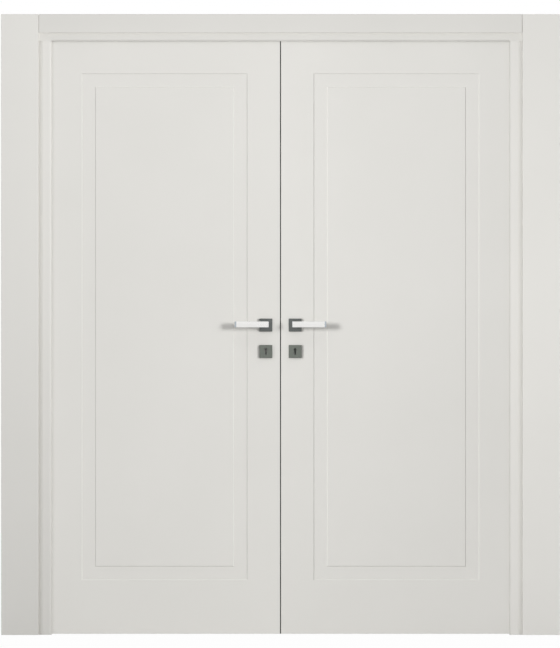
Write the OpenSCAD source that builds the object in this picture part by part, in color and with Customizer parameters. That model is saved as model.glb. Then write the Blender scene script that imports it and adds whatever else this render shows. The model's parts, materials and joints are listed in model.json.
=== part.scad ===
// Double hinged interior door: two routed, lacquered leaves in a rebated frame with casings.
// The floor is z = 0, the centre line x = 0, and y = 0 runs through the middle of the leaves.
// The push side faces -y and shows no hinges; both leaves swing away, towards +y.
// Everything is drawn for the right half, at +x, and mirrored for the left.

/* [Leaves] */
// Width of one leaf
leaf_w = 786; // [700:1:900]
// Height of one leaf
leaf_h = 2029; // [1950:1:2200]
// Thickness of one leaf
leaf_t = 44; // [40:1:50]
// Clearance between the two meeting edges
meeting_gap = 3.5; // [3:0.5:5]
// Clearance from a leaf to the frame at the hinge side and the head
edge_gap = 3; // [2.5:0.5:4]
// Clearance under the leaves
floor_gap = 3; // [3:1:10]
// Radius of the long arrises of a leaf
leaf_r = 0.5; // [0.5:0.5:2]

/* [Routed band] */
// Leaf edge to the middle of the outer slope, at both stiles
stile_margin = 112; // [90:1:140]
// Leaf top to the middle of the outer slope
top_margin = 123; // [90:1:180]
// Leaf bottom to the middle of the outer slope
bottom_margin = 184; // [120:1:260]
// Width of the sunk band, between the middles of its slopes
band_w = 46; // [30:1:80]
// Depth of the sunk band, with slopes at 45 degrees
band_d = 2; // [1:0.5:6]

/* [Frame] */
// How far the stop covers the edge of a leaf
stop_overlap = 9; // [9:1:16]
// How far the head stop covers the tops of the leaves
head_overlap = 12; // [9:1:16]
// Depth of the stop, from its face to the back that takes the seal
stop_d = 10; // [9:1:16]
// Gap between stop and leaf that the seal fills
seal_gap = 2.5; // [2:0.5:4]
// Side jamb, from the inner edge of the stop to the back
side_face = 56; // [56:1:80]
// Head jamb, from the lower edge of the stop to the top
head_face = 45; // [42:1:70]
// Radius of the arris that frames the leaves
arris_r = 7; // [3:0.5:8]
// Radius of the holes for the wall fixings
fixing_r = 4; // [3:0.5:5]

/* [Casings] */
// Width of a side casing
casing_w = 127; // [80:1:160]
// Height of the head casing
head_casing_w = 63; // [56:1:120]
// Thickness of the casings
casing_t = 12; // [10:1:20]
// Radius of the casing arrises
casing_r = 2; // [1:0.5:8]
// Side stop showing between leaf and casing
side_reveal = 44; // [38:1:47]
// Head stop showing between leaf and casing
head_reveal = 28; // [22:1:30]
// Jamb edge showing on the pull side
rear_reveal = 16; // [14:1:20]

/* [Hinges] */
// Height of a hinge
plate_h = 100; // [80:1:120]
// Width of a hinge plate, from the pull face of the leaf
plate_w = 32; // [28:1:36]
// Thickness of a hinge plate
plate_t = 2.5; // [2:0.5:3]
// Outer radius of the knuckles
knuckle_r = 6; // [5.5:0.5:8]
// Radius of the hinge pin
pin_r = 3.5; // [3:0.5:4]
// Leaf top to the middle of the upper hinge
hinge_top = 190; // [150:1:240]
// Leaf bottom to the middle of the lower hinge
hinge_bottom = 251; // [180:1:300]

/* [Handles] */
// Height of the lever axis
handle_z = 1054; // [1000:1:1100]
// Lever axis to the middle of the key rose
key_drop = 90; // [85:1:100]
// Meeting edge to the lever axis
backset = 48; // [45:1:60]
// Side of the square roses
rose_w = 44; // [42:1:54]
// Thickness of the roses
rose_t = 9; // [7:1:12]
// Radius of the neck that turns in the rose
neck_r = 8; // [7:0.5:10]
// Length of the lever bar
lever_l = 116; // [100:1:140]
// Height of the lever bar
lever_h = 20; // [18:1:24]
// Middle of the lever bar above the lever axis
lever_up = 2; // [0:0.5:3]
// Thickness of the lever bar
lever_t = 12; // [10:1:14]
// Face of the leaf to the front of the lever bar
lever_out = 55; // [50:1:65]

/* [Lock and bolts] */
// Travel of the latch for the whole turn of the lever
latch_throw = 11; // [9:0.5:11]
// Travel of the dead bolt
dead_throw = 14; // [10:1:18]
// Thickness of the lock case
case_t = 15; // [15:1:20]
// Width of the lock front, strike plate and bolt plates
front_w = 20; // [18:1:24]
// Radius of a flush bolt
bolt_r = 5; // [4:0.5:6]
// Travel of a flush bolt
bolt_throw = 15; // [12:1:18]

/* [Hidden] */
$fn = 64;
lacquer = "#dedcd7";
steel = "#b9babb";
bright = "#dfe2e4";
nickel = "#7b7f7a";
dark_rubber = "#3a3a3b";
white_rubber = "#d9d8d4";

// Leaf edges and frame faces, as distances from the centre line and the floor
edge_x = meeting_gap / 2;
hinge_x = edge_x + leaf_w;
rebate_x = hinge_x + edge_gap;
stop_x = hinge_x - stop_overlap;
jamb_x = stop_x + side_face;
leaf_top = floor_gap + leaf_h;
rebate_z = leaf_top + edge_gap;
stop_z = leaf_top - head_overlap;
jamb_z = stop_z + head_face;
face_y = leaf_t / 2;
stop_y = -face_y - seal_gap;
front_y = stop_y - stop_d;
rear_setback = 0.5;
rear_y = face_y + rear_setback;

// Casings: the inner edges on both sides of the wall, and the overall size
casing_x = stop_x + side_reveal;
casing_z = stop_z + head_reveal;
overall_x = casing_x + casing_w;
overall_z = casing_z + head_casing_w;
rear_casing_x = rebate_x + rear_reveal;
rear_casing_z = rebate_z + rear_reveal;
joint_gap = 0.4;
end_r = 3;
land = 1.5;
outer_land = 12;
hollow_d = 1.5;
tongue_in = 4;
tongue_t = 4;
tongue_l = 12;
tongue_slack = 0.1;
head_tongue_l = 2 * (rebate_x - 1);
side_quirk = [16, 4];
head_quirk = [13, 2];

// Seals
kerf_w = 2.6;
kerf_d = 4;
bulb_r = 3;
seal_slack = 0.5;
meeting_slack = 0.75;
meeting_seal_in = 10;

// Hinges
axis_x = hinge_x + edge_gap / 2;
knuckle_out = 0.5;
axis_y = rear_y + knuckle_r + knuckle_out;
hinge_hi = leaf_top - hinge_top;
hinge_lo = floor_gap + hinge_bottom;
hinge_z = [hinge_hi, (hinge_hi + hinge_lo) / 2, hinge_lo];
knuckles = 5;
knuckle_gap = 0.4;
pin_slack = 0.05;
cap_h = 3;
plate_screws = [[-7, -0.36], [6, -0.14], [6, 0.14], [-7, 0.36]];

// Wall fixings: two pairs in each side jamb, between the hinges
fixing_step = 300;
fixing_y = (stop_y + rear_y) / 2;
fixing_z = [(hinge_z[0] + hinge_z[1]) / 2, (hinge_z[1] + hinge_z[2]) / 2];
fixing_head_rim = 3;
fixing_head_r = fixing_r + fixing_head_rim;
fixing_head_d = 6;

// Screws
screw_r = 2;
screw_head_r = 4;
screw_head_h = 2;
screw_l = 18;
screw_slack = 0.1;

// Handles
handle_x = edge_x + backset;
key_z = handle_z - key_drop;
rose_c = 1.2;
rose_r = 1.5;
rose_lip = 0.6;
rose_base = 1;
spindle_w = 8;
spindle_slack = 0.1;
spindle_in = 36;
crown_r = 42;
bar_r = 1.5;
bar_end_r = 2;
spindle_hole_room = 1;
spindle_hole_r = neck_r + spindle_hole_room;
grub_r = 2.5;
grub_sunk = 0.8;
grub_out = 6;
grub_slack = 0.05;
grub_key = 1.45;
grub_key_d = 2.2;
key_r = 4.75;
key_w = 5.5;
key_up = 6.5;
key_down = 10.5;
key_room = 1.5;

// Lock: latch and follower arm above the lever axis, dead bolt above the key
front_t = 3;
case_wall = 1.5;
case_behind = 22;
case_d = backset + case_behind;
case_x = edge_x + front_t;
case_below = 35;
case_above = 40;
case_lo = key_z - case_below;
case_hi = handle_z + case_above;
front_over = 35;
bolt_half = 5.5;
bolt_slack = 0.4;
latch_up = 16;
latch_z = handle_z + latch_up;
latch_h = 16;
hub_r = 12;
journal_r = 9;
arm_w = 6;
arm_l = 22;
arm_y = [-3, 1.5];
tail_y = [2, 4.5];
tail_h = 7;
lug_in = 6.2;
lug_t = 4;
dead_up = 30;
dead_z = key_z + dead_up;
dead_h = 20;
dead_tail = 36;
dead_l = dead_throw + dead_tail;
dead_in = 0.5;
pocket_room = 4;
pocket_d = dead_throw + pocket_room;
strike_below = 32;
strike_above = 30;
strike_lo = dead_z - dead_h / 2 - strike_below;
strike_hi = latch_z + latch_h / 2 + strike_above;
strike_screw_in = 10;

// Flush bolts in the meeting edge of the left leaf
edge_plate_t = 2.5;
edge_plate_h = 180;
return_l = 32;
return_screw = 25;
foot_screw = 12;
bolt_in = 13;
thumb_z = 112;
thumb_h = 24;
thumb_w = 9;
bolt_l = 126;
channel_w = 13;
channel_x = bolt_in + bolt_r + 1;
keeper_l = 44;
keeper_screw_in = 6;
keeper_screw = keeper_l / 2 - keeper_screw_in;
bolt_tip = 2;
bolt_short = 0.5;

// Placing: the left half is the mirror image of the right, the rear face that of the front
module left() { mirror([1, 0, 0]) children(); }
module rear() { mirror([0, 1, 0]) children(); }
module upside_down() { translate([0, 0, floor_gap + leaf_top]) mirror([0, 0, 1]) children(); }
// A (z, y) outline drawn along x
module along_x(length) { rotate([0, -90, 0]) linear_extrude(length, center = true) children(); }
// A cylinder along y
module rod_y(r, length) { rotate([90, 0, 0]) cylinder(r = r, h = length, center = true); }

// What rounds off a corner at the origin of a body in the +x +y quadrant
module arris_cut(r) {
  difference() {
    translate([-1, -1]) square(r + 1);
    translate([r, r]) circle(r);
  }
}

// A rectangle with rounded corners
module rounded_rect(x, y, width, height, r) {
  difference() {
    translate([x, y]) square([width, height]);
    translate([x, y]) arris_cut(r);
    translate([x + width, y]) mirror([1, 0]) arris_cut(r);
    translate([x, y + height]) mirror([0, 1]) arris_cut(r);
    translate([x + width, y + height]) rotate(180) arris_cut(r);
  }
}

// Screws: head at the origin, shank along -z
module screw() {
  difference() {
    union() {
      translate([0, 0, -screw_head_h]) cylinder(r1 = screw_r, r2 = screw_head_r, h = screw_head_h);
      translate([0, 0, -screw_l]) cylinder(r = screw_r, h = screw_l - screw_head_h / 2);
    }
    for (turn = [0, 90]) rotate(turn) translate([-2.2, -0.45, -1]) cube([4.4, 0.9, 2]);
  }
}
module screw_hole() {
  head_r = screw_head_r + screw_slack;
  translate([0, 0, -screw_head_h]) cylinder(r1 = screw_r + screw_slack, r2 = head_r, h = screw_head_h);
  translate([0, 0, -0.01]) cylinder(r = head_r, h = 1);
  translate([0, 0, -screw_l - 1]) cylinder(r = screw_r + screw_slack, h = screw_l + 0.5);
}
// Screw places: on the hinge plates of a jamb or a leaf, and on plates in the meeting edge
module at_plate_screws(heights) {
  for (z = heights) for (p = plate_screws)
    translate([0, face_y - plate_w / 2 + p[0], z + p[1] * plate_h]) children();
}
module at_jamb_screws(heights) {
  translate([rebate_x, 0, 0]) at_plate_screws(heights) rotate([0, -90, 0]) children();
}
module at_leaf_screws(heights) {
  translate([hinge_x, 0, 0]) at_plate_screws(heights) rotate([0, 90, 0]) children();
}
module at_edge_screws(heights) {
  for (z = heights) translate([edge_x, 0, z]) rotate([0, -90, 0]) children();
}
front_screws = [case_lo - front_over / 2, case_hi + front_over / 2];
strike_screws = [strike_lo + strike_screw_in, strike_hi - strike_screw_in];
// A bolt plate has one screw at its foot and one in its return
module at_bolt_plate_screws() {
  at_edge_screws([leaf_top - edge_plate_h + foot_screw]) children();
  translate([edge_x + return_screw, 0, leaf_top]) children();
}
module at_left_edge_screws() {
  at_edge_screws(strike_screws) children();
  at_bolt_plate_screws() children();
  upside_down() at_bolt_plate_screws() children();
}

// Frame
module jamb_section(stop, overlap, rebate, outer, casing, rear_casing, quirk) {
  lip = quirk[0] / quirk[1];
  groove = [tongue_t + 2 * tongue_slack, tongue_l + 1.5];
  difference() {
    polygon([
      [stop, front_y], [outer, front_y], [outer, rear_y],
      [rebate, rear_y], [rebate, stop_y], [stop, stop_y]
    ]);
    translate([stop, front_y]) arris_cut(arris_r);
    translate([casing, front_y]) polygon([[-quirk[0] - lip, -1], [0, -1], [0, quirk[1]]]);
    translate([casing + tongue_in - tongue_slack, front_y - 1]) square(groove);
    translate([rear_casing + tongue_in - tongue_slack, rear_y - tongue_l - 0.5]) square(groove);
    translate([stop + (overlap - kerf_w) / 2, stop_y - kerf_d]) square([kerf_w, kerf_d + 1]);
  }
}
module side_jamb() {
  color(lacquer) difference() {
    linear_extrude(stop_z)
      jamb_section(stop_x, stop_overlap, rebate_x, jamb_x, casing_x, rear_casing_x, side_quirk);
    for (z = hinge_z) translate([rebate_x - 1, face_y - plate_w, z - plate_h / 2])
      cube([plate_t + 1, plate_w + 2, plate_h]);
    at_jamb_screws(hinge_z) screw_hole();
    for (z = fixing_z) for (step = [-0.5, 0.5])
      translate([rebate_x, fixing_y, z + step * fixing_step]) rotate([0, 90, 0]) {
        translate([0, 0, -1]) cylinder(r = fixing_r, h = jamb_x - rebate_x + 2);
        translate([0, 0, -1]) cylinder(r = fixing_head_r, h = fixing_head_d + 1);
      }
  }
}
// The head lies on the side jambs, so its rebate and arris stop at them
module head_jamb() {
  end_l = jamb_x - rebate_x;
  lip_l = jamb_x - stop_x;
  color(lacquer) difference() {
    union() {
      along_x(2 * rebate_x)
        jamb_section(stop_z, head_overlap, rebate_z, jamb_z, casing_z, rear_casing_z, head_quirk);
      for (x = [-jamb_x, rebate_x])
        translate([x, front_y, stop_z]) cube([end_l, rear_y - front_y, head_face]);
      for (x = [-jamb_x, stop_x])
        translate([x, front_y, stop_z]) cube([lip_l, stop_d, arris_r + 1]);
    }
    translate([-edge_x - bolt_in, 0, rebate_z]) {
      cylinder(r = bolt_r + 1, h = bolt_throw + 6);
      translate([-keeper_l / 2, -front_w / 2, -1]) cube([keeper_l, front_w, edge_plate_t + 1]);
      for (x = [-1, 1]) translate([x * keeper_screw, 0, 0]) rotate([180, 0, 0]) screw_hole();
    }
  }
}
module left_jamb() { left() side_jamb(); }
module right_jamb() { side_jamb(); }

// Casings: a board with rounded arrises, a hollowed back and a tongue into the jamb
module casing_section(width, on_jamb) {
  difference() {
    translate([0, -casing_t]) square([width, casing_t]);
    translate([0, -casing_t]) arris_cut(casing_r);
    translate([width, -casing_t]) mirror([1, 0]) arris_cut(casing_r);
    translate([on_jamb + land, -hollow_d])
      square([width - on_jamb - land - outer_land, hollow_d + 1]);
  }
}
module tongue_section() { translate([tongue_in, -1]) square([tongue_t, tongue_l + 1]); }
module side_casing() {
  color(lacquer) translate([casing_x, front_y, 0]) {
    linear_extrude(overall_z) casing_section(casing_w, jamb_x - casing_x);
    linear_extrude(stop_z - 1) tongue_section();
  }
}
module rear_side_casing() {
  color(lacquer) translate([rear_casing_x, rear_y, 0]) rear() {
    linear_extrude(overall_z) casing_section(casing_w, jamb_x - rear_casing_x);
    linear_extrude(stop_z - 1) tongue_section();
  }
}
module front_left_casing() { left() side_casing(); }
module front_right_casing() { side_casing(); }
// A head casing butts between the side casings with rounded ends
module head_casing(inner_z, face_y, half, height) {
  color(lacquer) difference() {
    union() {
      along_x(2 * half) translate([inner_z, face_y]) casing_section(height, jamb_z - inner_z);
      along_x(head_tongue_l) translate([inner_z, face_y]) tongue_section();
    }
    for (side = [0, 1]) mirror([side, 0, 0]) translate([-half, face_y - casing_t, inner_z - 1])
      linear_extrude(height + 2) arris_cut(end_r);
  }
}
module front_head_casing() { head_casing(casing_z, front_y, casing_x - joint_gap, head_casing_w); }
module rear_left_casing() { left() rear_side_casing(); }
module rear_right_casing() { rear_side_casing(); }
module rear_head_casing() {
  rear() head_casing(rear_casing_z, -rear_y, rear_casing_x - joint_gap, overall_z - rear_casing_z);
}

// Seals: a stem in the kerf and a bulb that stands in the gap
module bulb_section(height) {
  translate([-kerf_w / 2, 0.2 - kerf_d]) square([kerf_w, kerf_d]);
  intersection() {
    translate([0, height - bulb_r]) circle(bulb_r);
    translate([-bulb_r, 0]) square([2 * bulb_r, bulb_r]);
  }
}
module side_seal() {
  color(white_rubber) translate([stop_x + stop_overlap / 2, stop_y, 0])
    linear_extrude(stop_z) bulb_section(seal_gap - seal_slack);
}
module left_stop_seal() { left() side_seal(); }
module right_stop_seal() { side_seal(); }
module head_stop_seal() {
  color(white_rubber) along_x(2 * stop_x) translate([stop_z + head_overlap / 2, stop_y])
    bulb_section(seal_gap - seal_slack);
}
// Each meeting edge carries one seal, in front on the left leaf and behind on the right
module meeting_seal_section() {
  rotate(90) bulb_section(meeting_gap - meeting_slack);
}
module meeting_kerf() {
  translate([edge_x - 1, face_y - meeting_seal_in - kerf_w / 2, floor_gap - 1])
    cube([kerf_d + 1, kerf_w, leaf_h + 2]);
}
module meeting_seal() {
  color(dark_rubber) translate([edge_x, face_y - meeting_seal_in, floor_gap])
    linear_extrude(leaf_h) meeting_seal_section();
}
module left_meeting_seal() { left() rear() meeting_seal(); }
module right_meeting_seal() { meeting_seal(); }

// Hinges: each plate is let in flush and carries every other knuckle on one pin
module knuckle_bore(z) {
  translate([axis_x, axis_y, z - plate_h]) cylinder(r = pin_r + pin_slack, h = 2 * plate_h);
}
module hinge_plate(z, x, first) {
  pitch = plate_h / knuckles;
  difference() {
    union() {
      translate([x, face_y - plate_w, z - plate_h / 2]) cube([plate_t, plate_w, plate_h]);
      for (k = [first : 2 : knuckles - 1])
        translate([0, 0, z - plate_h / 2 + k * pitch + knuckle_gap / 2]) {
          translate([axis_x, axis_y, 0]) cylinder(r = knuckle_r, h = pitch - knuckle_gap);
          translate([x, face_y - 1, 0]) cube([plate_t, axis_y - face_y + 1, pitch - knuckle_gap]);
        }
    }
    knuckle_bore(z);
  }
}
module jamb_plate(z) {
  color(steel) difference() {
    hinge_plate(z, rebate_x, 0);
    at_jamb_screws([z]) screw_hole();
  }
}
module leaf_plate(z) {
  color(steel) difference() {
    hinge_plate(z, hinge_x - plate_t, 1);
    at_leaf_screws([z]) screw_hole();
  }
}
module hinge_pins() {
  color(steel) for (z = hinge_z) translate([axis_x, axis_y, z]) {
    cylinder(r = pin_r, h = plate_h + 1, center = true);
    for (end = [0, 1]) mirror([0, 0, end]) translate([0, 0, plate_h / 2]) {
      cylinder(r = knuckle_r, h = cap_h / 2);
      translate([0, 0, cap_h / 2]) cylinder(r1 = knuckle_r, r2 = knuckle_r / 2, h = cap_h / 2);
    }
  }
}
module left_upper_jamb_plate() { left() jamb_plate(hinge_z[0]); }
module left_middle_jamb_plate() { left() jamb_plate(hinge_z[1]); }
module left_lower_jamb_plate() { left() jamb_plate(hinge_z[2]); }
module right_upper_jamb_plate() { jamb_plate(hinge_z[0]); }
module right_middle_jamb_plate() { jamb_plate(hinge_z[1]); }
module right_lower_jamb_plate() { jamb_plate(hinge_z[2]); }
module left_upper_leaf_plate() { left() leaf_plate(hinge_z[0]); }
module left_middle_leaf_plate() { left() leaf_plate(hinge_z[1]); }
module left_lower_leaf_plate() { left() leaf_plate(hinge_z[2]); }
module right_upper_leaf_plate() { leaf_plate(hinge_z[0]); }
module right_middle_leaf_plate() { leaf_plate(hinge_z[1]); }
module right_lower_leaf_plate() { leaf_plate(hinge_z[2]); }
module left_hinge_pins() { left() hinge_pins(); }
module right_hinge_pins() { hinge_pins(); }

// Leaves
// A rectangle with sloping sides, sunk from y = 0; lean 1 narrows and lean -1 widens inwards
module sloped_block(width, height, lean) {
  module slope(size) {
    out = size / 2 + lean * (band_d / 2 + 1);
    in = size / 2 - lean * (band_d / 2 + (lean < 0 ? 1 : 0));
    deep = lean < 0 ? band_d + 1 : band_d;
    polygon([[-out, -1], [out, -1], [in, deep], [-in, deep]]);
  }
  intersection() {
    linear_extrude(height + 4 * band_d, center = true) slope(width);
    along_x(width + 4 * band_d) slope(height);
  }
}
module routed_band() {
  width = leaf_w - 2 * stile_margin;
  height = leaf_h - top_margin - bottom_margin;
  translate([edge_x + leaf_w / 2, -face_y, floor_gap + bottom_margin + height / 2]) difference() {
    sloped_block(width, height, 1);
    sloped_block(width - 2 * band_w, height - 2 * band_w, -1);
  }
}
module keyhole(room, length) {
  translate([handle_x, 0, key_z]) {
    translate([0, 0, key_up]) rod_y(key_r + room, length);
    translate([-key_w / 2 - room, -length / 2, -key_down - room])
      cube([key_w + 2 * room, length, key_down + key_up + room]);
  }
}
module prepared_leaf() {
  difference() {
    translate([0, 0, floor_gap]) linear_extrude(leaf_h) difference() {
      translate([edge_x, -face_y]) square([leaf_w, leaf_t]);
      for (y = [0, 1]) mirror([0, y]) {
        translate([edge_x, -face_y]) arris_cut(leaf_r);
        translate([hinge_x, -face_y]) mirror([1, 0]) arris_cut(leaf_r);
      }
    }
    routed_band();
    rear() routed_band();
    for (z = hinge_z) translate([hinge_x - plate_t, face_y - plate_w, z - plate_h / 2])
      cube([plate_t + 1, plate_w + 1, plate_h]);
    at_leaf_screws(hinge_z) screw_hole();
    translate([handle_x, 0, handle_z]) rod_y(spindle_hole_r, leaf_t + 2);
  }
}
module flush_bolt_channel() {
  translate([edge_x - 1, -channel_w / 2, leaf_top - bolt_l - 4])
    cube([channel_x + 1, channel_w, thumb_h + bolt_throw + 10]);
  translate([edge_x + bolt_in, 0, leaf_top - bolt_l]) cylinder(r = bolt_r + 0.5, h = bolt_l + 1);
  bolt_plate_blank(1);
}
module bolt_plate_blank(proud) {
  translate([edge_x - proud, -front_w / 2, leaf_top - edge_plate_h])
    cube([edge_plate_t + proud, front_w, edge_plate_h + proud]);
  translate([edge_x, -front_w / 2, leaf_top - edge_plate_t])
    cube([return_l, front_w, edge_plate_t + proud]);
}
module strike_blank(proud) {
  translate([edge_x - proud, -front_w / 2, strike_lo])
    cube([edge_plate_t + proud, front_w, strike_hi - strike_lo]);
  translate([edge_x - proud, 0, latch_z - latch_h])
    cube([edge_plate_t + proud, face_y - leaf_r + (proud > 0 ? leaf_r + 1 : 0), 2 * latch_h]);
}
module strike_pockets(room, depth) {
  half = bolt_half + 1 + room;
  for (p = [[latch_z, latch_h], [dead_z, dead_h]])
    translate([edge_x - 1, -half, p[0] - p[1] / 2 - 1.5 - room])
      cube([depth + 1, 2 * half, p[1] + 3 + 2 * room]);
}
module left_leaf() {
  color(lacquer) left() difference() {
    prepared_leaf();
    rear() meeting_kerf();
    flush_bolt_channel();
    upside_down() flush_bolt_channel();
    strike_blank(1);
    strike_pockets(0.5, pocket_d);
    at_left_edge_screws() screw_hole();
    translate([0, -face_y, 0]) keyhole(key_room, leaf_t / 2);
    translate([0, face_y, 0]) keyhole(key_room, leaf_t / 2);
  }
}
module right_leaf() {
  color(lacquer) difference() {
    prepared_leaf();
    meeting_kerf();
    lock_front_blank(1);
    translate([edge_x, -case_t / 2, case_lo]) cube([front_t + case_d + 1, case_t, case_hi - case_lo]);
    at_edge_screws(front_screws) screw_hole();
    keyhole(key_room, leaf_t + 2);
  }
}

// Roses: square covers with chamfered edges and a shadow line at the leaf
module rose_blank(z) {
  module outline() {
    half = rose_w / 2;
    shoulder = rose_c - rose_t;
    base = half - rose_lip;
    polygon([
      [-base, 0], [base, 0], [base, -rose_base], [half, -rose_base], [half, shoulder],
      [half - rose_c, -rose_t], [rose_c - half, -rose_t], [-half, shoulder],
      [-half, -rose_base], [-base, -rose_base]
    ]);
  }
  translate([handle_x, -face_y, z]) intersection() {
    linear_extrude(rose_w, center = true) outline();
    along_x(rose_w) outline();
    rotate([90, 0, 0]) linear_extrude(3 * rose_t, center = true)
      rounded_rect(-rose_w / 2, -rose_w / 2, rose_w, rose_w, rose_r);
  }
}
module rose() {
  color(nickel) difference() {
    rose_blank(handle_z);
    translate([handle_x, -face_y, handle_z]) rod_y(neck_r + pin_slack, 3 * rose_t);
  }
}
module key_rose() {
  color(nickel) difference() {
    rose_blank(key_z);
    translate([0, -face_y, 0]) keyhole(0, 3 * rose_t);
  }
}
module left_front_rose() { left() rose(); }
module left_rear_rose() { left() rear() rose(); }
module left_front_key_rose() { left() key_rose(); }
module left_rear_key_rose() { left() rear() key_rose(); }
module right_front_rose() { rose(); }
module right_rear_rose() { rear() rose(); }
module right_front_key_rose() { key_rose(); }
module right_rear_key_rose() { rear() key_rose(); }

// Levers: a crowned bar with rounded edges on a round neck, over a square spindle
// Its (z, y) outline: each front edge is rounded by a circle inside the crown and the side
module bar_outline() {
  side = lever_h / 2 - bar_r;
  inner = crown_r - bar_r;
  deep = crown_r - sqrt(inner * inner - side * side);
  lean = [side, deep - crown_r] / inner;
  far = 3 * bar_r;
  difference() {
    intersection() {
      translate([-lever_h / 2, 0]) square([lever_h, lever_t]);
      translate([0, crown_r]) circle(crown_r, $fn = 180);
    }
    for (edge = [0, 1]) mirror([edge, 0]) {
      translate([side, deep]) difference() {
        polygon([[0, 0], far * lean, [far, -far], [far, 0]]);
        circle(bar_r);
      }
      translate([lever_h / 2, lever_t]) rotate(180) arris_cut(bar_r);
    }
  }
}
module lever_bar() {
  root = handle_x - lever_h / 2;
  low = lever_up - lever_h / 2;
  translate([root, -face_y - lever_out, handle_z]) intersection() {
    translate([lever_l / 2, 0, lever_up]) along_x(lever_l) bar_outline();
    translate([0, 0, low - 1]) linear_extrude(lever_h + 2)
      rounded_rect(0, 0, lever_l, lever_t, bar_r);
    rotate([90, 0, 0]) linear_extrude(3 * lever_t, center = true)
      rounded_rect(0, low, lever_l, lever_h, bar_end_r);
  }
}
module lever() {
  neck_l = lever_out - lever_t / 2 - 1;
  hole = spindle_w + 2 * spindle_slack;
  color(bright) difference() {
    union() {
      lever_bar();
      translate([handle_x, -face_y - 1 - neck_l / 2, handle_z]) rod_y(neck_r, neck_l);
    }
    translate([handle_x - hole / 2, -face_y - spindle_in - 0.5, handle_z - hole / 2])
      cube([hole, spindle_in + 1, hole]);
    at_grub() translate([0, 0, spindle_w / 2]) cylinder(r = grub_r + grub_slack, h = neck_r);
  }
}
// A grub screw under the neck holds each lever on its spindle
module at_grub() {
  translate([handle_x, -face_y - rose_t - grub_out, handle_z]) rotate([180, 0, 0]) children();
}
module grub_screw() {
  length = neck_r - grub_sunk - spindle_w / 2 - grub_slack;
  at_grub() translate([0, 0, spindle_w / 2 + grub_slack]) difference() {
    cylinder(r = grub_r, h = length);
    translate([0, 0, length - grub_key_d]) cylinder(r = grub_key, h = grub_key_d + 1, $fn = 6);
  }
}
module grub_screws() {
  color(steel) {
    grub_screw();
    rear() grub_screw();
  }
}
module spindle() {
  length = leaf_t + 2 * spindle_in;
  color(steel) translate([handle_x - spindle_w / 2, -length / 2, handle_z - spindle_w / 2])
    cube([spindle_w, length, spindle_w]);
}
module left_front_lever() { left() lever(); }
module left_rear_lever() { left() rear() lever(); }
module right_front_lever() { lever(); }
module right_rear_lever() { rear() lever(); }
module left_spindle() { left() spindle(); }
module right_spindle() { spindle(); }
module left_grub_screws() { left() grub_screws(); }
module right_grub_screws() { grub_screws(); }

// Mortise lock of the right leaf
module lock_front_blank(proud) {
  translate([edge_x - proud, -front_w / 2, case_lo - front_over])
    cube([front_t + proud, front_w, case_hi - case_lo + 2 * front_over]);
}
module bolt_windows(length) {
  half = bolt_half + bolt_slack;
  for (p = [[latch_z, latch_h], [dead_z, dead_h]])
    translate([edge_x - 1, -half, p[0] - p[1] / 2 - bolt_slack])
      cube([length + 1, 2 * half, p[1] + 2 * bolt_slack]);
}
module lock_front() {
  color(steel) difference() {
    lock_front_blank(0);
    bolt_windows(front_t + 1);
    at_edge_screws(front_screws) screw_hole();
  }
}
module lock_case() {
  color(steel) difference() {
    translate([case_x, -case_t / 2, case_lo]) cube([case_d, case_t, case_hi - case_lo]);
    translate([case_x + case_wall, case_wall - case_t / 2, case_lo + case_wall])
      cube([case_d - 2 * case_wall, case_t - 2 * case_wall, case_hi - case_lo - 2 * case_wall]);
    bolt_windows(front_t + case_wall + 1);
    translate([handle_x, 0, handle_z]) rod_y(journal_r + pin_slack, case_t + 2);
    keyhole(0.5, case_t + 2);
  }
}
// The follower turns with the spindle and draws the latch by the lug on its tail
module lock_follower() {
  hole = spindle_w + 2 * spindle_slack;
  hub_l = case_t - 2 * case_wall - 0.6;
  color(steel) translate([handle_x, 0, handle_z]) difference() {
    union() {
      rod_y(hub_r, hub_l);
      rod_y(journal_r, case_t);
      translate([-arm_w / 2, arm_y[0], 0]) cube([arm_w, arm_y[1] - arm_y[0], arm_l]);
    }
    translate([-hole / 2, -case_t, -hole / 2]) cube([hole, 2 * case_t, hole]);
  }
}
module latch_bolt() {
  tip = edge_x - latch_throw;
  tail = handle_x - hub_r - latch_throw - 1;
  lug = handle_x + lug_in;
  tail_lo = handle_z + hub_r + 1;
  color(steel) {
    translate([0, 0, latch_z - latch_h / 2]) linear_extrude(latch_h) polygon([
      [tip, bolt_half], [tip, bolt_half - 2], [tip + latch_throw - 1, -bolt_half],
      [tail, -bolt_half], [tail, bolt_half]
    ]);
    translate([tail - 2, tail_y[0], tail_lo])
      cube([lug + lug_t - tail + 2, tail_y[1] - tail_y[0], tail_h]);
    translate([lug, arm_y[0], tail_lo]) cube([lug_t, tail_y[1] - arm_y[0], tail_h]);
  }
}
module dead_bolt() {
  color(steel) translate([edge_x + dead_in, -bolt_half, dead_z - dead_h / 2])
    cube([dead_l, 2 * bolt_half, dead_h]);
}

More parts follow.
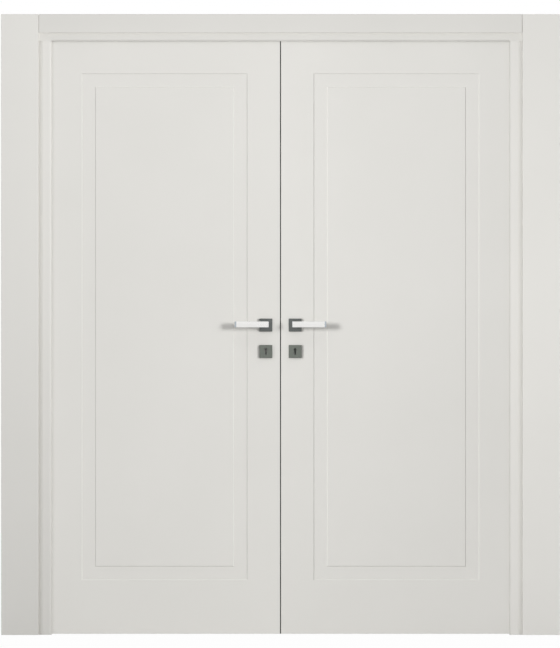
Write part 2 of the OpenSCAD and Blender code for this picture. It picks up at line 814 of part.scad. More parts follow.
// Strike plate and flush bolts of the left leaf
module strike_plate() {
  color(steel) left() difference() {
    strike_blank(0);
    strike_pockets(0, edge_plate_t + 1);
    at_edge_screws(strike_screws) screw_hole();
  }
}
module bolt_plate() {
  room = 0.5;
  color(steel) difference() {
    bolt_plate_blank(0);
    translate([edge_x - 1, -thumb_w / 2 - room, leaf_top - thumb_z - thumb_h / 2 - room])
      cube([edge_plate_t + 2, thumb_w + 2 * room, thumb_h + bolt_throw + 2 * room]);
    translate([edge_x + bolt_in, 0, leaf_top - 10]) cylinder(r = bolt_r + 0.3, h = 20);
    at_bolt_plate_screws() screw_hole();
  }
}
module flush_bolt() {
  color(steel) difference() {
    union() {
      translate([edge_x + bolt_in, 0, leaf_top - bolt_l]) {
        cylinder(r = bolt_r, h = bolt_l - bolt_tip - bolt_short);
        translate([0, 0, bolt_l - bolt_tip - bolt_short])
          cylinder(r1 = bolt_r, r2 = bolt_r - bolt_tip, h = bolt_tip);
      }
      translate([edge_x + 0.5, -thumb_w / 2, leaf_top - thumb_z - thumb_h / 2])
        cube([bolt_in, thumb_w, thumb_h]);
    }
    translate([edge_x - 2, 0, leaf_top - thumb_z]) rod_y(5, thumb_w + 2);
  }
}
module upper_bolt_plate() { left() bolt_plate(); }
module lower_bolt_plate() { left() upside_down() bolt_plate(); }
module upper_flush_bolt() { left() flush_bolt(); }
module lower_flush_bolt() { left() upside_down() flush_bolt(); }
module bolt_keeper() {
  color(steel) translate([-edge_x - bolt_in, 0, rebate_z]) difference() {
    translate([-keeper_l / 2, -front_w / 2, 0]) cube([keeper_l, front_w, edge_plate_t]);
    translate([0, 0, -1]) cylinder(r = bolt_r + 0.7, h = edge_plate_t + 2);
    for (x = [-1, 1]) translate([x * keeper_screw, 0, 0]) rotate([180, 0, 0]) screw_hole();
  }
}

// Countersunk screws, one group for each body that holds them
module frame_screws() {
  color(steel) {
    at_jamb_screws(hinge_z) screw();
    left() at_jamb_screws(hinge_z) screw();
    for (x = [-1, 1]) translate([x * keeper_screw - edge_x - bolt_in, 0, rebate_z])
      rotate([180, 0, 0]) screw();
  }
}
module left_leaf_screws() {
  color(steel) left() {
    at_leaf_screws(hinge_z) screw();
    at_left_edge_screws() screw();
  }
}
module right_leaf_screws() {
  color(steel) {
    at_leaf_screws(hinge_z) screw();
    at_edge_screws(front_screws) screw();
  }
}

left_jamb();
right_jamb();
head_jamb();
front_left_casing();
front_right_casing();
front_head_casing();
rear_left_casing();
rear_right_casing();
rear_head_casing();
left_stop_seal();
right_stop_seal();
head_stop_seal();
left_upper_jamb_plate();
left_middle_jamb_plate();
left_lower_jamb_plate();
right_upper_jamb_plate();
right_middle_jamb_plate();
right_lower_jamb_plate();
left_hinge_pins();
right_hinge_pins();
bolt_keeper();
frame_screws();
left_leaf();
left_upper_leaf_plate();
left_middle_leaf_plate();
left_lower_leaf_plate();
left_meeting_seal();
strike_plate();
upper_bolt_plate();
lower_bolt_plate();
left_leaf_screws();
left_front_rose();
left_rear_rose();
left_front_key_rose();
left_rear_key_rose();
left_front_lever();
left_rear_lever();
left_spindle();
left_grub_screws();
upper_flush_bolt();
lower_flush_bolt();
right_leaf();
right_upper_leaf_plate();
right_middle_leaf_plate();
right_lower_leaf_plate();
right_meeting_seal();
lock_case();
lock_front();
right_leaf_screws();
right_front_rose();
right_rear_rose();
right_front_key_rose();
right_rear_key_rose();
right_front_lever();
right_rear_lever();
right_spindle();
right_grub_screws();
lock_follower();
latch_bolt();
dead_bolt();
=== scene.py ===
"""Looks of a double hinged interior door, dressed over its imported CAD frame.

Everything is in metres and in the CAD's own frame: the push side faces -y, z is up and the floor is z = 0.
"""

import json
import logging
import math
from dataclasses import dataclass
from enum import Enum
from typing import Iterable, Protocol, Sequence

import bmesh
import bpy
from mathutils import Matrix, Vector

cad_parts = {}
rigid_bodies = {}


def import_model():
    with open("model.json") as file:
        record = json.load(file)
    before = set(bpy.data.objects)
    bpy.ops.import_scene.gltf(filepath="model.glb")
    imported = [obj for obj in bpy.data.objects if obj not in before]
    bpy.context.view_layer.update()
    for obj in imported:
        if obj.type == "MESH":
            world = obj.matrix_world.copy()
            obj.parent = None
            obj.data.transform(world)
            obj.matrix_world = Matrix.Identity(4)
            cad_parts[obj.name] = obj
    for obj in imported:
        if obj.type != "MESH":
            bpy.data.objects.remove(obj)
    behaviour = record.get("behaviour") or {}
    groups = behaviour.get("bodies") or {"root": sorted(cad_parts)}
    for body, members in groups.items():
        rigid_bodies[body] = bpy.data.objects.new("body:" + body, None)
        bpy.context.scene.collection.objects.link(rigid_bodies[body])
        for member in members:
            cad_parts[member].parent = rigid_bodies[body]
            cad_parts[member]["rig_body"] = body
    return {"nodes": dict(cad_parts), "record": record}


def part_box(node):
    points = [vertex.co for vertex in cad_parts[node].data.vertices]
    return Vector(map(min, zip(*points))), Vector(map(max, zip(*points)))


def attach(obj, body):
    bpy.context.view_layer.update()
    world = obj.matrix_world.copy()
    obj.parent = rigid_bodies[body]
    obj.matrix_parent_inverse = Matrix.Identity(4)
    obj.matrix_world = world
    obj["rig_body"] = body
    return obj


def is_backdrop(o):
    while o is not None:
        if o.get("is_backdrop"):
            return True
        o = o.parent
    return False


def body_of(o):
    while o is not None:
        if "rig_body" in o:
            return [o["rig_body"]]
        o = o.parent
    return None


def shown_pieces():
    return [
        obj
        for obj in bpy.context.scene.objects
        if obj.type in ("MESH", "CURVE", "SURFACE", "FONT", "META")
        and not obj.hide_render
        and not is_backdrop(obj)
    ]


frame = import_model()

LOG = logging.getLogger("double_door")
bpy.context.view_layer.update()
TINY = 1e-6
WHITE = (1.0, 1.0, 1.0, 1.0)

# The range in which nearly all values of a noise lie.
NOISE_LOW, NOISE_HIGH = 0.3, 0.7
# Sockets of a colour mix, which share their names with its other kinds.
MIX_SHARE, MIX_FIRST, MIX_SECOND, MIX_RESULT = 0, 6, 7, 2

Rgb = tuple[float, float, float]
Point = tuple[float, float, float]
Socket = bpy.types.NodeSocket


class Slot(Enum):
    """Material slots of the record."""

    LACQUER = "lacquer"
    STEEL = "steel"
    NICKEL = "nickel"
    BRIGHT = "bright"
    WHITE_RUBBER = "white_rubber"
    DARK_RUBBER = "dark_rubber"


class Side(Enum):
    """A half of the door, with the sign of its x."""

    LEFT = -1
    RIGHT = 1

    @property
    def word(self) -> str:
        """The side as it begins a node's name."""
        return self.name.lower()


class Face(Enum):
    """A face of the door, with the sign of its y."""

    FRONT = -1
    REAR = 1

    @property
    def word(self) -> str:
        """The face as it stands in a node's name."""
        return self.name.lower()


class Grain(Enum):
    """Direction of a brushed finish, as the stretch of its noise along x, y and z."""

    ALONG_X = (6.0, 420.0, 420.0)
    ALONG_Z = (420.0, 420.0, 6.0)


class NodeBench:
    """A material's node tree, with short calls to add and join nodes."""

    def __init__(self, name: str) -> None:
        """Start an empty material.

        Args:
            name: The material's name.
        """
        self.material = bpy.data.materials.new(name)
        self.material.use_nodes = True
        self.tree = self.material.node_tree
        self.tree.nodes.clear()

    def add(self, kind: str, **values: object) -> bpy.types.Node:
        """Add a node.

        Args:
            kind: The node's type name.
            **values: Attributes of the node, or its inputs with spaces written as underscores.

        Returns:
            The new node.
        """
        node = self.tree.nodes.new(kind)
        for key, value in values.items():
            if hasattr(node, key):
                setattr(node, key, value)
            else:
                node.inputs[key.replace("_", " ")].default_value = value
        return node

    def join(self, out: Socket, into: Socket) -> None:
        """Link one socket to another."""
        self.tree.links.new(out, into)

    def place(self, stretch: Point = (1.0, 1.0, 1.0)) -> Socket:
        """Give Object coordinates, stretched.

        Args:
            stretch: Scale along x, y and z.

        Returns:
            The vector socket.
        """
        coords = self.add("ShaderNodeTexCoord")
        mapping = self.add("ShaderNodeMapping", Scale=stretch)
        self.join(coords.outputs["Object"], mapping.inputs["Vector"])
        return mapping.outputs["Vector"]

    def noise(self, vector: Socket, scale: float, detail: float = 3.0, rough: float = 0.5) -> Socket:
        """Add a noise texture.

        Args:
            vector: Where it is read.
            scale: Its scale.
            detail: Its octaves.
            rough: Its roughness.

        Returns:
            The factor socket.
        """
        texture = self.add("ShaderNodeTexNoise", Scale=scale, Detail=detail, Roughness=rough)
        self.join(vector, texture.inputs["Vector"])
        return texture.outputs["Fac"]

    def ramp(
        self, value: Socket, start: float, end: float, low: float = 0.0, high: float = 1.0
    ) -> Socket:
        """Turn one range of values into another, held at both ends.

        Args:
            value: The value.
            start: What becomes low.
            end: What becomes high.
            low: The result at the start.
            high: The result at the end.

        Returns:
            The result socket.
        """
        node = self.add("ShaderNodeMapRange", From_Min=start, From_Max=end, To_Min=low, To_Max=high)
        self.join(value, node.inputs["Value"])
        return node.outputs["Result"]

    def spread(self, noise: Socket, low: float = 0.0, high: float = 1.0) -> Socket:
        """Spread a noise between two values."""
        return self.ramp(noise, NOISE_LOW, NOISE_HIGH, low, high)

    def tint(self, share: Socket, first: Rgb | Socket, second: Rgb) -> Socket:
        """Mix a colour into another.

        Args:
            share: The share of the second colour.
            first: The colour, or the socket of a tone, to start from.
            second: The colour to mix in.

        Returns:
            The colour socket.
        """
        node = self.add("ShaderNodeMix", data_type="RGBA")
        if isinstance(first, Socket):
            self.join(first, node.inputs[MIX_FIRST])
        else:
            node.inputs[MIX_FIRST].default_value = (*first, 1.0)
        node.inputs[MIX_SECOND].default_value = (*second, 1.0)
        self.join(share, node.inputs[MIX_SHARE])
        return node.outputs[MIX_RESULT]

    def soft_edges(self, radius: float) -> Socket:
        """Give a normal that rounds sharp edges.

        Args:
            radius: Radius of the rounding.

        Returns:
            The normal socket.
        """
        node = self.add("ShaderNodeBevel", samples=4, Radius=radius)
        return node.outputs["Normal"]

    def edge_mask(self, radius: float, gain: float = 8.0) -> Socket:
        """Give a factor that is 0 on flats and 1 along edges.

        Args:
            radius: How far from an edge it reaches.
            gain: How fast it rises.

        Returns:
            The factor socket.
        """
        geometry = self.add("ShaderNodeNewGeometry")
        turn = self.add("ShaderNodeVectorMath", operation="DOT_PRODUCT")
        self.join(self.soft_edges(radius), turn.inputs[0])
        self.join(geometry.outputs["Normal"], turn.inputs[1])
        return self.ramp(turn.outputs["Value"], 1.0, 1.0 - 1.0 / gain)

    def bump(self, height: Socket, distance: float, normal: Socket | None = None) -> Socket:
        """Raise a surface by a height.

        Args:
            height: The height, 0 to 1.
            distance: How far 1 stands out.
            normal: The normal it starts from.

        Returns:
            The normal socket.
        """
        node = self.add("ShaderNodeBump", Strength=1.0, Distance=distance)
        self.join(height, node.inputs["Height"])
        if normal is not None:
            self.join(normal, node.inputs["Normal"])
        return node.outputs["Normal"]

    def surface(self, shader: Socket) -> bpy.types.Material:
        """Finish the material.

        Args:
            shader: The shader socket that it shows.

        Returns:
            The material.
        """
        out = self.add("ShaderNodeOutputMaterial")
        self.join(shader, out.inputs["Surface"])
        return self.material

    def coat(self, tone: Socket, rough: Socket, normal: Socket, **values: float) -> bpy.types.Material:
        """Finish the material with one shader for the whole surface.

        Args:
            tone: Its colour.
            rough: Its roughness.
            normal: Its normal.
            **values: Other inputs of the shader, with spaces written as underscores.

        Returns:
            The material.
        """
        shader = self.add("ShaderNodeBsdfPrincipled", **values)
        for key, socket in (("Base Color", tone), ("Roughness", rough), ("Normal", normal)):
            self.join(socket, shader.inputs[key])
        return self.surface(shader.outputs["BSDF"])


class Finish(Protocol):
    """Anything that can make a material."""

    def material(self) -> bpy.types.Material:
        """Make the material."""


@dataclass(frozen=True)
class Lacquer:
    """Sprayed satin lacquer on board: a faint cloud in the tone, orange peel, and soft arrises."""

    name: str
    light: Rgb = (0.742, 0.730, 0.697)
    dark: Rgb = (0.722, 0.711, 0.677)
    cloud_scale: float = 2.2
    peel_scale: float = 430.0
    peel_height: float = 0.00004
    mist_scale: float = 55.0
    sheen: tuple[float, float] = (0.36, 0.46)
    gloss: float = 0.42
    arris: float = 0.0008

    def material(self) -> bpy.types.Material:
        """Make the material.

        Returns:
            The lacquer.
        """
        bench = NodeBench(self.name)
        here = bench.place()
        cloud = bench.noise(here, self.cloud_scale, detail=4.0, rough=0.55)
        peel = bench.noise(here, self.peel_scale, detail=2.0, rough=0.45)
        mist = bench.noise(here, self.mist_scale, rough=0.6)
        tone = bench.tint(bench.spread(cloud), self.dark, self.light)
        normal = bench.bump(peel, self.peel_height, bench.soft_edges(self.arris))
        return bench.coat(tone, bench.spread(mist, *self.sheen), normal, Specular_IOR_Level=self.gloss)


@dataclass(frozen=True)
class BrushedMetal:
    """Satin metal with fine brush lines, a faint cloud of handling and soft edges of another tone."""

    name: str
    light: Rgb
    dark: Rgb
    grain: Grain
    rough: tuple[float, float]
    rim: Rgb
    rim_width: float = 0.0008
    metallic: float = 1.0
    line_scale: float = 4.0
    line_height: float = 0.00002
    cloud_scale: float = 60.0
    edge: float = 0.0004

    def tone(self, bench: NodeBench, lines: Socket) -> Socket:
        """Colour the brush lines and the edges.

        Args:
            bench: The material's node tree.
            lines: The noise of the brush lines.

        Returns:
            The colour socket.
        """
        brushed = bench.tint(bench.spread(lines), self.dark, self.light)
        # Along the edges the tone turns to the rim colour. On the levers this is painted reflection and shade;
        # on the other metals the edges are only lighter.
        return bench.tint(bench.edge_mask(self.rim_width), brushed, self.rim)

    def material(self) -> bpy.types.Material:
        """Make the material.

        Returns:
            The metal.
        """
        bench = NodeBench(self.name)
        lines = bench.noise(bench.place(self.grain.value), self.line_scale, rough=0.6)
        cloud = bench.noise(bench.place(), self.cloud_scale)
        normal = bench.bump(lines, self.line_height, bench.soft_edges(self.edge))
        rough = bench.spread(cloud, *self.rough)
        return bench.coat(self.tone(bench, lines), rough, normal, Metallic=self.metallic)


@dataclass(frozen=True)
class LeverMetal(BrushedMetal):
    """Satin metal of the levers, with a dark bluish band of painted reflection on each free end, measured from
    the door's middle.
    """

    # Painted reflection: a dark bluish tone on the last millimetres of each lever, standing in for the tip
    # reflecting dark surroundings.
    cap: Rgb = (0.460, 0.505, 0.545)
    cap_from: float = 0.1496
    cap_to: float = 0.1508

    def tone(self, bench: NodeBench, lines: Socket) -> Socket:
        """Colour the brush lines, the edges and the painted reflection on the free ends.

        Args:
            bench: The material's node tree.
            lines: The noise of the brush lines.

        Returns:
            The colour socket.
        """
        along = bench.add("ShaderNodeSeparateXYZ")
        bench.join(bench.place(), along.inputs[0])
        away = bench.add("ShaderNodeMath", operation="ABSOLUTE")
        bench.join(along.outputs["X"], away.inputs[0])
        # Painted reflection: the tone turns dark bluish over the last millimetres towards each free end.
        cap = bench.ramp(away.outputs[0], self.cap_from, self.cap_to)
        return bench.tint(cap, super().tone(bench, lines), self.cap)


@dataclass(frozen=True)
class Rubber:
    """Extruded rubber: drawn lines along its length and a dusty cloud."""

    name: str
    light: Rgb
    dark: Rgb
    rough: tuple[float, float] = (0.62, 0.78)
    dust_scale: float = 35.0
    drawn: Point = (900.0, 900.0, 4.0)
    line_height: float = 0.00005

    def material(self) -> bpy.types.Material:
        """Make the material.

        Returns:
            The rubber.
        """
        bench = NodeBench(self.name)
        dust = bench.noise(bench.place(), self.dust_scale, detail=5.0, rough=0.65)
        lines = bench.noise(bench.place(self.drawn), 1.0, detail=2.0)
        tone = bench.tint(bench.spread(dust), self.dark, self.light)
        return bench.coat(tone, bench.spread(dust, *self.rough), bench.bump(lines, self.line_height))


FINISHES: dict[Slot, Finish] = {
    Slot.LACQUER: Lacquer("white_lacquer"),
    Slot.STEEL: BrushedMetal(
        "satin_steel", (0.60, 0.60, 0.61), (0.50, 0.50, 0.51), Grain.ALONG_Z, (0.30, 0.42),
        (0.66, 0.66, 0.67),
    ),
    Slot.NICKEL: BrushedMetal(
        "dark_nickel", (0.166, 0.182, 0.160), (0.134, 0.148, 0.129), Grain.ALONG_Z, (0.34, 0.44),
        (0.185, 0.20, 0.19), metallic=0.3,
    ),
    # The levers' dark bluish rim over 2.2 mm of their edges is painted reflection and shade on the rounded
    # edges.
    Slot.BRIGHT: LeverMetal(
        "satin_chrome", (0.912, 0.905, 0.884), (0.827, 0.821, 0.808), Grain.ALONG_X, (0.26, 0.36),
        (0.47, 0.51, 0.57), rim_width=0.0022,
    ),
    Slot.WHITE_RUBBER: Rubber("white_seal", (0.62, 0.615, 0.59), (0.52, 0.515, 0.49)),
    Slot.DARK_RUBBER: Rubber("dark_seal", (0.034, 0.034, 0.035), (0.022, 0.022, 0.023)),
}
# A darker copy of the dark nickel: painted shade that stands in for the lever's shadow and dark reflections on
# the handle roses.
SHADED_HANDLE_ROSE = BrushedMetal(
    "handle_nickel", (0.131, 0.140, 0.135), (0.103, 0.111, 0.107), Grain.ALONG_Z, (0.30, 0.40),
    (0.165, 0.175, 0.172), metallic=0.3,
)


class Wardrobe:
    """The materials in use: one for each slot, and a copy of the nickel darkened with painted shade for the
    handle roses.
    """

    def __init__(self) -> None:
        """Make every finish once."""
        self.materials = {slot: finish.material() for slot, finish in FINISHES.items()}
        self.handle_rose = SHADED_HANDLE_ROSE.material()

    def dress(self, piece: bpy.types.Object, slot: Slot) -> None:
        """Put a slot's material on a piece.

        Args:
            piece: The object to dress.
            slot: The slot of its finish.
        """
        piece.data.materials.clear()
        piece.data.materials.append(self.materials[slot])

    def dress_cad(self) -> list[str]:
        """Dress every CAD node as the record says, then give the handle roses the nickel darkened with painted
        shade.

        Returns:
            The names of the nodes.
        """
        rows = frame["record"]["subparts"]
        for row in rows:
            self.dress(frame["nodes"][row["node"]], Slot(row["material_slot"]))
        for side in Side:
            for face in Face:
                frame["nodes"][f"{side.word}_{face.word}_rose"].data.materials[0] = self.handle_rose
        return [row["node"] for row in rows]


def new_piece(mesh: bmesh.types.BMesh, name: str) -> bpy.types.Object:
    """Turn a finished bmesh into an object of the scene.

    Args:
        mesh: The mesh, which is freed.
        name: The piece's name.

    Returns:
        The object, at the origin.
    """
    bmesh.ops.recalc_face_normals(mesh, faces=mesh.faces)
    data = bpy.data.meshes.new(name)
    mesh.to_mesh(data)
    mesh.free()
    piece = bpy.data.objects.new(name, data)
    bpy.context.scene.collection.objects.link(piece)
    return piece


def stand_up(mesh: bmesh.types.BMesh, verts: list[bmesh.types.BMVert]) -> None:
    """Turn a flat ring from the xy plane into the xz plane."""
    bmesh.ops.rotate(mesh, verts=verts, cent=(0, 0, 0), matrix=Matrix.Rotation(math.pi / 2, 3, "X"))


def new_verts(grown: dict[str, list]) -> list[bmesh.types.BMVert]:
    """Pick the vertices that an extrusion made."""
    return [item for item in grown["geom"] if isinstance(item, bmesh.types.BMVert)]


@dataclass
class KeyGuide:
    """A pressed steel sleeve that lines the keyhole behind a key rose.

    The sizes follow the keyhole of the rose. corner_pull draws the foot of the ring out into square corners.
    """

    side: Side
    face: Face
    bore: float = 0.00475
    slot_half: float = 0.00275
    up: float = 0.0065
    down: float = 0.0105
    clearance: float = 0.0001
    wall: float = 0.0009
    depth: float = 0.009
    corner_pull: float = 1.6
    segments: int = 40

    def centre(self) -> Vector:
        """Find the middle of the key rose's back.

        Returns:
            The point on the leaf's face.
        """
        low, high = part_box(f"{self.side.word}_{self.face.word}_key_rose")
        middle = (low + high) / 2
        middle.y = high.y if self.face is Face.FRONT else low.y
        return middle

    def outline(self, mesh: bmesh.types.BMesh, grow: float) -> list[bmesh.types.BMEdge]:
        """Draw the keyhole in the xz plane as a ring of edges.

        Args:
            mesh: The mesh to draw in.
            grow: How far outside the keyhole the ring lies.

        Returns:
            The ring's edges.
        """
        radius, half = self.bore + grow, self.slot_half + grow
        ring = bmesh.ops.create_circle(mesh, cap_ends=False, segments=self.segments, radius=radius)["verts"]
        stand_up(mesh, ring)
        bmesh.ops.translate(mesh, verts=ring, vec=(0, 0, self.up))
        meet = self.up - math.sqrt(radius**2 - half**2)
        for vert in ring:
            if vert.co.z < meet:
                vert.co.x = max(-half, min(half, vert.co.x * self.corner_pull))
                vert.co.z = -self.down - grow if abs(vert.co.x) < half else vert.co.z
        return list({edge for vert in ring for edge in vert.link_edges})

    def build(self, wardrobe: Wardrobe) -> bpy.types.Object:
        """Model the sleeve, dress it and let it ride on its leaf.

        Args:
            wardrobe: The materials.

        Returns:
            The sleeve.
        """
        mesh = bmesh.new()
        inner, outer = self.outline(mesh, self.clearance), self.outline(mesh, self.wall)
        ring = bmesh.ops.bridge_loops(mesh, edges=inner + outer)["faces"]
        moved = new_verts(bmesh.ops.extrude_face_region(mesh, geom=ring))
        bmesh.ops.translate(mesh, verts=moved, vec=(0, -self.face.value * self.depth, 0))
        bmesh.ops.translate(mesh, verts=mesh.verts, vec=self.centre())
        piece = new_piece(mesh, f"{self.side.word}_{self.face.word}_key_guide")
        wardrobe.dress(piece, Slot.STEEL)
        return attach(piece, f"{self.side.word}_leaf")


@dataclass
class LeverPack:
    """The flat levers of the mortise lock, hung on their pivot behind the keyhole."""

    pivot: tuple[float, float] = (0.0235, 0.966)
    reach: float = 0.033
    half_height: float = 0.0155
    thick: float = 0.0022
    pitch: float = 0.0029
    count: int = 3
    pin_r: float = 0.0035
    pin_length: float = 0.0118
    edge: float = 0.0003
    segments: int = 32

    def slab(self, mesh: bmesh.types.BMesh, radius: float, reach: float, y: float, thick: float) -> None:
        """Add one round-ended slab that lies in the xz plane.

        Args:
            mesh: The mesh to add to.
            radius: Radius of its ends.
            reach: Distance between the two end centres.
            y: Where its middle lies.
            thick: Its thickness.
        """
        disc = bmesh.ops.create_circle(mesh, cap_ends=True, segments=self.segments, radius=radius)["verts"]
        stand_up(mesh, disc)
        bmesh.ops.translate(mesh, verts=[vert for vert in disc if vert.co.x > TINY], vec=(reach, 0, 0))
        bmesh.ops.translate(mesh, verts=disc, vec=(self.pivot[0], y - thick / 2, self.pivot[1]))
        faces = list({face for vert in disc for face in vert.link_faces})
        far = new_verts(bmesh.ops.extrude_face_region(mesh, geom=faces, use_keep_orig=True))
        bmesh.ops.translate(mesh, verts=far, vec=(0, thick, 0))
        ends = set(disc) | set(far)
        rims = [
            edge
            for edge in mesh.edges
            if set(edge.verts) <= ends and abs(edge.verts[0].co.y - edge.verts[1].co.y) < TINY
        ]
        bmesh.ops.bevel(
            mesh, geom=rims, offset=self.edge, segments=2, profile=0.5, affect="EDGES", material=-1
        )

    def build(self, wardrobe: Wardrobe) -> bpy.types.Object:
        """Model the levers and their pivot, dress them and let them ride on the right leaf.

        Args:
            wardrobe: The materials.

        Returns:
            The lever pack.
        """
        mesh = bmesh.new()
        for index in range(self.count):
            y = (index - (self.count - 1) / 2) * self.pitch
            self.slab(mesh, self.half_height, self.reach, y, self.thick)
        self.slab(mesh, self.pin_r, 0.0, 0.0, self.pin_length)
        piece = new_piece(mesh, "right_lock_levers")
        wardrobe.dress(piece, Slot.NICKEL)
        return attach(piece, "right_leaf")


@dataclass(frozen=True)
class SoftBox:
    """A rectangular studio light that may be kept to some pieces."""

    name: str
    place: Point
    aim: Point
    size: tuple[float, float]
    watts: float
    spread: float = math.pi

    def build(self, receivers: Sequence[bpy.types.Object] = ()) -> None:
        """Hang the light.

        Args:
            receivers: The objects it lights; none means all.
        """
        data = bpy.data.lights.new(self.name, "AREA")
        data.shape = "RECTANGLE"
        data.size, data.size_y = self.size
        data.energy, data.spread = self.watts, self.spread
        lamp = bpy.data.objects.new(self.name, data)
        lamp.location = self.place
        lamp.visible_glossy = False
        lamp.rotation_euler = (Vector(self.aim) - Vector(self.place)).to_track_quat("-Z", "Y").to_euler()
        bpy.context.scene.collection.objects.link(lamp)
        if receivers:
            group = bpy.data.collections.new(self.name)
            for piece in receivers:
                group.objects.link(piece)
            lamp.light_linking.receiver_collection = group


class Group(Enum):
    """Pieces that share their lights."""

    LEFT_LEAF = "left leaf"
    RIGHT_LEAF = "right leaf"
    LEFT_FRAME = "left frame"
    RIGHT_FRAME = "right frame"
    HEAD = "head"
    HEAD_CASING = "head casing"


LEAF_BODIES: dict[Group, tuple[str, ...]] = {
    Group.LEFT_LEAF: ("left_leaf", "left_levers", "upper_bolt", "lower_bolt"),
    Group.RIGHT_LEAF: ("right_leaf", "right_levers", "latch", "dead_bolt"),
}
HEAD_GROUPS = (Group.HEAD, Group.HEAD_CASING)

# Sizes of the boxes, and the beam of a box with a grid on it.
SMALL, MIDDLE, BIG, LARGE = (0.8, 0.8), (1.0, 1.0), (1.5, 1.5), (1.9, 1.9)
STRIP, BANK, CEILING = (2.4, 0.8), (2.2, 1.0), (4.0, 1.6)
GRID = math.radians(120.0)

# Where the boxes aim.
LEFT_JAMB, RIGHT_JAMB = (-0.88, 0.0, 1.1), (0.88, 0.0, 1.1)
LEFT_PANEL, RIGHT_PANEL = (-0.4, 0.0, 1.45), (0.4, 0.0, 1.45)

# Each leaf's key stands on the other side of the door. Each jamb has a key from inside and a fill from outside,
# which keeps the dark line beside its casing. The stop light throws the left stop's shadow on its leaf.
GROUP_LIGHTS: tuple[tuple[Group, SoftBox], ...] = (
    (Group.LEFT_LEAF, SoftBox("left_leaf_key", (5.74, -6.75, 2.13), LEFT_PANEL, LARGE, 194.0, GRID)),
    (Group.RIGHT_LEAF, SoftBox("right_leaf_key", (-5.74, -6.75, 2.13), RIGHT_PANEL, LARGE, 194.0, GRID)),
    (Group.LEFT_FRAME, SoftBox("left_frame_key", (1.47, -2.12, 2.05), LEFT_JAMB, SMALL, 53.0)),
    (Group.LEFT_FRAME, SoftBox("left_frame_fill", (-3.2, -3.3, 2.1), LEFT_JAMB, SMALL, 30.0)),
    (Group.RIGHT_FRAME, SoftBox("right_frame_key", (-0.1, -3.0, 1.25), RIGHT_JAMB, MIDDLE, 44.5)),
    (Group.RIGHT_FRAME, SoftBox("right_frame_fill", (3.2, -3.3, 1.6), RIGHT_JAMB, SMALL, 23.0)),
    (Group.HEAD, SoftBox("head_key", (0.0, -3.6, 1.9), (0.0, 0.0, 1.9), BANK, 74.0)),
    (Group.HEAD_CASING, SoftBox("head_casing_key", (0.0, -3.4, 0.9), (0.0, 0.0, 2.05), BANK, 77.0)),
    (Group.LEFT_LEAF, SoftBox("left_leaf_fill", (0.0, -2.8, 1.4), (0.0, 0.0, 1.4), STRIP, 1.7)),
    (Group.RIGHT_LEAF, SoftBox("right_leaf_fill", (0.0, -2.8, 1.4), (0.0, 0.0, 1.4), STRIP, 8.6)),
    (Group.LEFT_LEAF, SoftBox("left_stop_light", (-6.0, -5.5, 2.8), (-0.4, 0.0, 1.1), BIG, 74.0)),
)
TOP_FILL = SoftBox("top_fill", (0.0, -3.2, 4.6), (0.0, 0.0, 1.2), CEILING, 19.8)
REAR_FILL = SoftBox("rear_fill", (0.0, 3.2, 4.2), (0.0, 0.0, 1.1), CEILING, 122.0)


def group_of(piece: bpy.types.Object) -> Group:
    """Find the light group of a piece by its body and, on the frame, by its name.

    Args:
        piece: A piece that rides on a body.

    Returns:
        The group.
    """
    body = body_of(piece)[0]
    for group, bodies in LEAF_BODIES.items():
        if body in bodies:
            return group
    for side in Side:
        if side.word in piece.name:
            return Group[f"{side.name}_FRAME"]
    return Group.HEAD_CASING if "casing" in piece.name else Group.HEAD


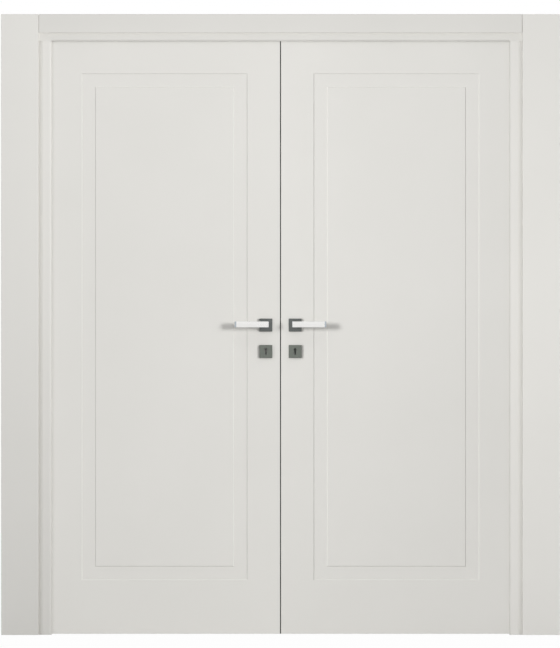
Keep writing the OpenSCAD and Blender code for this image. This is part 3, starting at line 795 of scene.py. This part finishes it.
@dataclass
class Studio:
    """Floor, world, lights and camera.

    pixel is the size of a pixel on the door's face, which lies at face_y.
    """

    floor_radius: float = 12.0
    floor_segments: int = 96
    floor_tone: float = 0.62
    floor_white: float = 0.98
    ambient: float = 0.488
    lens: float = 400.0
    sensor: float = 36.0
    clip: tuple[float, float] = (0.5, 200.0)
    picture: tuple[int, int] = (560, 648)
    pixel: float = 0.0034
    centre_x: float = -0.0017
    centre_z: float = 1.0574
    face_y: float = -0.0465

    def white_to_eyes(self, tree: bpy.types.NodeTree, share: float) -> Socket:
        """Build a factor that is share for camera, glossy and transmission rays, and 0 for light.

        Args:
            tree: The node tree to build in.
            share: The factor for the rays that see.

        Returns:
            The factor socket.
        """
        path = tree.nodes.new("ShaderNodeLightPath")
        total = path.outputs["Is Camera Ray"]
        for word in ("Is Glossy Ray", "Is Transmission Ray"):
            most = tree.nodes.new("ShaderNodeMath")
            most.operation = "MAXIMUM"
            tree.links.new(total, most.inputs[0])
            tree.links.new(path.outputs[word], most.inputs[1])
            total = most.outputs[0]
        scaled = tree.nodes.new("ShaderNodeMath")
        scaled.operation = "MULTIPLY"
        tree.links.new(total, scaled.inputs[0])
        scaled.inputs[1].default_value = share
        return scaled.outputs[0]

    def world(self) -> None:
        """Make the world: soft ambient light that looks white."""
        world = bpy.data.worlds.new("studio")
        world.use_nodes = True
        tree = world.node_tree
        tree.nodes.clear()
        soft, white = (tree.nodes.new("ShaderNodeBackground") for _ in range(2))
        soft.inputs["Strength"].default_value = self.ambient
        for node in (soft, white):
            node.inputs["Color"].default_value = WHITE
        mix, out = tree.nodes.new("ShaderNodeMixShader"), tree.nodes.new("ShaderNodeOutputWorld")
        tree.links.new(self.white_to_eyes(tree, 1.0), mix.inputs[0])
        tree.links.new(soft.outputs[0], mix.inputs[1])
        tree.links.new(white.outputs[0], mix.inputs[2])
        tree.links.new(mix.outputs[0], out.inputs["Surface"])
        bpy.context.scene.world = world

    def floor(self) -> None:
        """Lay a pale round floor that keeps a faint shadow."""
        mesh = bmesh.new()
        bmesh.ops.create_circle(
            mesh, cap_ends=True, segments=self.floor_segments, radius=self.floor_radius
        )
        piece = new_piece(mesh, "floor")
        bench = NodeBench("pale_floor")
        matte = bench.add("ShaderNodeBsdfDiffuse", Color=(self.floor_tone,) * 3 + (1.0,))
        glow = bench.add("ShaderNodeEmission", Color=WHITE, Strength=1.0)
        mix = bench.add("ShaderNodeMixShader")
        bench.join(self.white_to_eyes(bench.tree, self.floor_white), mix.inputs[0])
        bench.join(matte.outputs[0], mix.inputs[1])
        bench.join(glow.outputs[0], mix.inputs[2])
        piece.data.materials.append(bench.surface(mix.outputs[0]))
        piece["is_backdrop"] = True

    def camera(self) -> None:
        """Set up the long lens of the photograph, square to the door."""
        data = bpy.data.cameras.new("camera")
        data.lens, data.sensor_width = self.lens, self.sensor
        data.clip_start, data.clip_end = self.clip
        height = self.picture[1] * self.pixel
        distance = height * self.lens / self.sensor
        camera = bpy.data.objects.new("camera", data)
        camera.location = (self.centre_x, self.face_y - distance, self.centre_z)
        camera.rotation_euler = (math.pi / 2, 0.0, 0.0)
        bpy.context.scene.collection.objects.link(camera)
        bpy.context.scene.camera = camera

    def lights(self) -> None:
        """Hang the lights: those of each group, and the fills from above and from behind."""
        groups: dict[Group, list[bpy.types.Object]] = {group: [] for group in Group}
        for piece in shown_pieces():
            groups[group_of(piece)].append(piece)
        for group, light in GROUP_LIGHTS:
            light.build(groups[group])
        below = [piece for group, pieces in groups.items() if group not in HEAD_GROUPS for piece in pieces]
        TOP_FILL.build(below)
        REAR_FILL.build()

    def build(self) -> None:
        """Put the studio round the door."""
        self.floor()
        self.world()
        self.lights()
        self.camera()


def main() -> None:
    """Build and dress the door and the studio round it."""
    logging.basicConfig(level=logging.INFO, format="%(message)s")
    wardrobe = Wardrobe()
    for name in wardrobe.dress_cad():
        LOG.info("dressed %s", name)
    for side in Side:
        for face in Face:
            LOG.info("built %s", KeyGuide(side, face).build(wardrobe).name)
    LOG.info("built %s", LeverPack().build(wardrobe).name)
    Studio().build()
    bpy.context.scene.view_settings.view_transform = "Standard"


if __name__ == "__main__":
    main()
